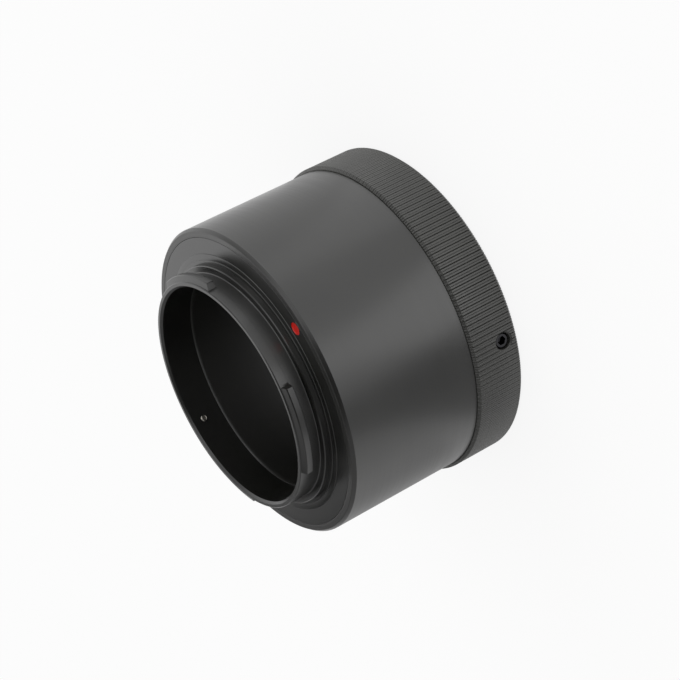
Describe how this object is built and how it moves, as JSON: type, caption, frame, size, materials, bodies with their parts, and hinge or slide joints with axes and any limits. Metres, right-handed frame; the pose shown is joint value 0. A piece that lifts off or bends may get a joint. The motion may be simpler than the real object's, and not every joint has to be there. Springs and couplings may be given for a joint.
{
  "type": "camera lens mount adapter",
  "caption": "Tubular lens-to-camera adapter: knurled ring clamping a threaded inner ring, thick barrel, and a flange plate with a three-lug bayonet tube.",
  "frame": {"origin": "centre of the lens-side rear face, on the optical axis", "axes": "+Z along the optical axis towards the camera bayonet; the red index dot lies on -Y"},
  "size_m": [0.0602, 0.0602, 0.0424],
  "materials": {
    "black_anodised": "black anodised, satin",
    "red_enamel": "gloss enamel fill",
    "bright_steel": "bare ground steel",
    "blackened_steel": "black oxide"
  },
  "bodies": {
    "body": {"barrel": "black_anodised", "bayonet_flange": "black_anodised", "index_dot": "red_enamel", "stop_pin": "bright_steel", "knurled_ring": "black_anodised"},
    "inner_ring": {"t_thread_ring": "black_anodised"},
    "screw_1": {"grub_screw_1": "blackened_steel"},
    "screw_2": {"grub_screw_2": "blackened_steel"},
    "screw_3": {"grub_screw_3": "blackened_steel"}
  },
  "joints": [
    {"name": "inner_ring_turn", "type": "hinge", "parent": "body", "child": "inner_ring", "pos_m": [0, 0, 0.003], "axis": [0, 0, 1], "continuous": true},
    {"name": "screw_1_travel", "type": "slide", "parent": "body", "child": "screw_1", "axis": [-0.6018, -0.7986, 0], "range_m": [0, 0.0015]},
    {"name": "screw_2_travel", "type": "slide", "parent": "body", "child": "screw_2", "axis": [0.9925, -0.1219, 0], "range_m": [0, 0.0015]},
    {"name": "screw_3_travel", "type": "slide", "parent": "body", "child": "screw_3", "axis": [-0.3907, 0.9205, 0], "range_m": [0, 0.0015]}
  ]
}
